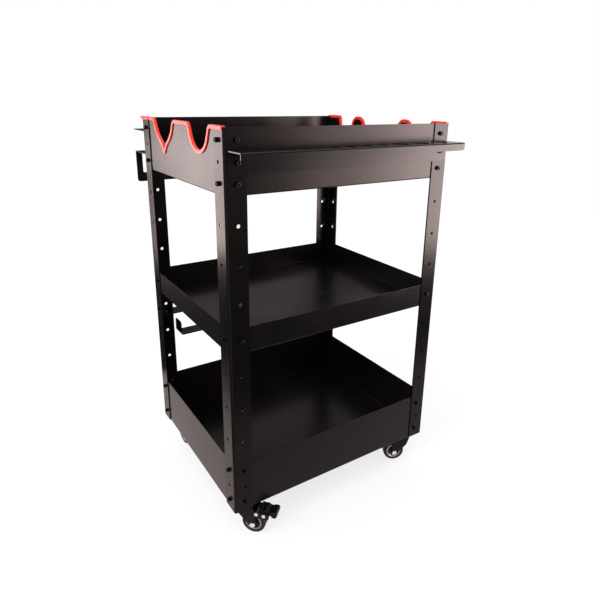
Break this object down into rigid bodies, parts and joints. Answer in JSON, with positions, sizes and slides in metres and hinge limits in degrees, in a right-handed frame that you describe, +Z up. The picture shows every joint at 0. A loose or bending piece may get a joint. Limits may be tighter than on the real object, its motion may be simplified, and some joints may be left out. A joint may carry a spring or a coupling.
{
  "type": "rolling utility cart",
  "caption": "Three-tier rolling utility cart: folded steel trays on perforated angle posts, notched trimmed top walls, tool rail, rear rack, cord hook and swivel casters with brakes.",
  "frame": {"origin": "on the floor, under the middle of the overall width and depth", "axes": "+X to the right along the front, +Y to the back, +Z up"},
  "size_m": [0.516, 0.555, 0.8166],
  "materials": {
    "frame_paint": "satin black powder coat",
    "tray_paint": "satin black powder coat",
    "red_trim": "soft PVC edging, semi-gloss",
    "black_screws": "black oxide",
    "zinc": "bright zinc",
    "caster_steel": "black coated pressed steel",
    "caster_plate": "zinc plated",
    "rim_plastic": "moulded grey",
    "tyre_rubber": "moulded rubber",
    "pedal_plastic": "moulded black"
  },
  "bodies": {
    "cart": {"bottom_tray": "tray_paint", "caster_back_left_kingpin": "zinc", "caster_back_left_plate": "caster_plate", "caster_back_left_race": "zinc", "caster_back_right_kingpin": "zinc", "caster_back_right_plate": "caster_plate", "caster_back_right_race": "zinc", "caster_front_left_kingpin": "zinc", "caster_front_left_plate": "caster_plate", "caster_front_left_race": "zinc", "caster_front_right_kingpin": "zinc", "caster_front_right_plate": "caster_plate", "caster_front_right_race": "zinc", "caster_nuts": "zinc", "caster_screws": "black_screws", "cord_hook": "frame_paint", "edge_trim_left": "red_trim", "edge_trim_right": "red_trim", "front_rail": "frame_paint", "hook_nuts": "zinc", "hook_screws": "black_screws", "middle_tray": "tray_paint", "post_back_left": "frame_paint", "post_back_right": "frame_paint", "post_front_left": "frame_paint", "post_front_right": "frame_paint", "rack_nuts": "zinc", "rack_screws": "black_screws", "rail_nuts": "zinc", "rail_screws": "black_screws", "rear_rack": "frame_paint", "top_tray": "tray_paint", "tray_nuts": "zinc", "tray_screws": "black_screws"},
    "fork_back_left": {"caster_back_left_axle": "zinc", "caster_back_left_axle_nut": "zinc", "caster_back_left_fork": "caster_steel", "caster_back_left_rivets": "zinc"},
    "pedal_back_left": {"caster_back_left_pedal": "pedal_plastic"},
    "wheel_back_left": {"caster_back_left_rim": "rim_plastic", "caster_back_left_tyre": "tyre_rubber"},
    "fork_back_right": {"caster_back_right_axle": "zinc", "caster_back_right_axle_nut": "zinc", "caster_back_right_fork": "caster_steel"},
    "wheel_back_right": {"caster_back_right_rim": "rim_plastic", "caster_back_right_tyre": "tyre_rubber"},
    "fork_front_left": {"caster_front_left_axle": "zinc", "caster_front_left_axle_nut": "zinc", "caster_front_left_fork": "caster_steel", "caster_front_left_rivets": "zinc"},
    "pedal_front_left": {"caster_front_left_pedal": "pedal_plastic"},
    "wheel_front_left": {"caster_front_left_rim": "rim_plastic", "caster_front_left_tyre": "tyre_rubber"},
    "fork_front_right": {"caster_front_right_axle": "zinc", "caster_front_right_axle_nut": "zinc", "caster_front_right_fork": "caster_steel"},
    "wheel_front_right": {"caster_front_right_rim": "rim_plastic", "caster_front_right_tyre": "tyre_rubber"}
  },
  "joints": [
    {"name": "swivel_front_left", "type": "hinge", "parent": "cart", "child": "fork_front_left", "pos_m": [-0.214, -0.199, 0.0655], "axis": [0, 0, 1], "continuous": true},
    {"name": "roll_front_left", "type": "hinge", "parent": "fork_front_left", "child": "wheel_front_left", "pos_m": [-0.20191, -0.21233, 0.025], "axis": [0.7408, 0.6717, 0], "continuous": true},
    {"name": "brake_front_left", "type": "hinge", "parent": "fork_front_left", "child": "pedal_front_left", "pos_m": [-0.18579, -0.23011, 0.051], "axis": [0.7408, 0.6717, 0], "range_deg": [0, 10]},
    {"name": "swivel_front_right", "type": "hinge", "parent": "cart", "child": "fork_front_right", "pos_m": [0.214, -0.199, 0.0655], "axis": [0, 0, 1], "continuous": true},
    {"name": "roll_front_right", "type": "hinge", "parent": "fork_front_right", "child": "wheel_front_right", "pos_m": [0.19805, -0.19066, 0.025], "axis": [-0.4633, -0.8862, 0], "continuous": true},
    {"name": "swivel_back_right", "type": "hinge", "parent": "cart", "child": "fork_back_right", "pos_m": [0.214, 0.16, 0.0655], "axis": [0, 0, 1], "continuous": true},
    {"name": "roll_back_right", "type": "hinge", "parent": "fork_back_right", "child": "wheel_back_right", "pos_m": [0.20555, 0.17589, 0.025], "axis": [-0.8829, -0.4695, 0], "continuous": true},
    {"name": "swivel_back_left", "type": "hinge", "parent": "cart", "child": "fork_back_left", "pos_m": [-0.214, 0.16, 0.0655], "axis": [0, 0, 1], "continuous": true},
    {"name": "roll_back_left", "type": "hinge", "parent": "fork_back_left", "child": "wheel_back_left", "pos_m": [-0.21274, 0.14204, 0.025], "axis": [0.9976, 0.0698, 0], "continuous": true},
    {"name": "brake_back_left", "type": "hinge", "parent": "fork_back_left", "child": "pedal_back_left", "pos_m": [-0.21107, 0.1181, 0.051], "axis": [0.9976, 0.0698, 0], "range_deg": [0, 10]}
  ]
}
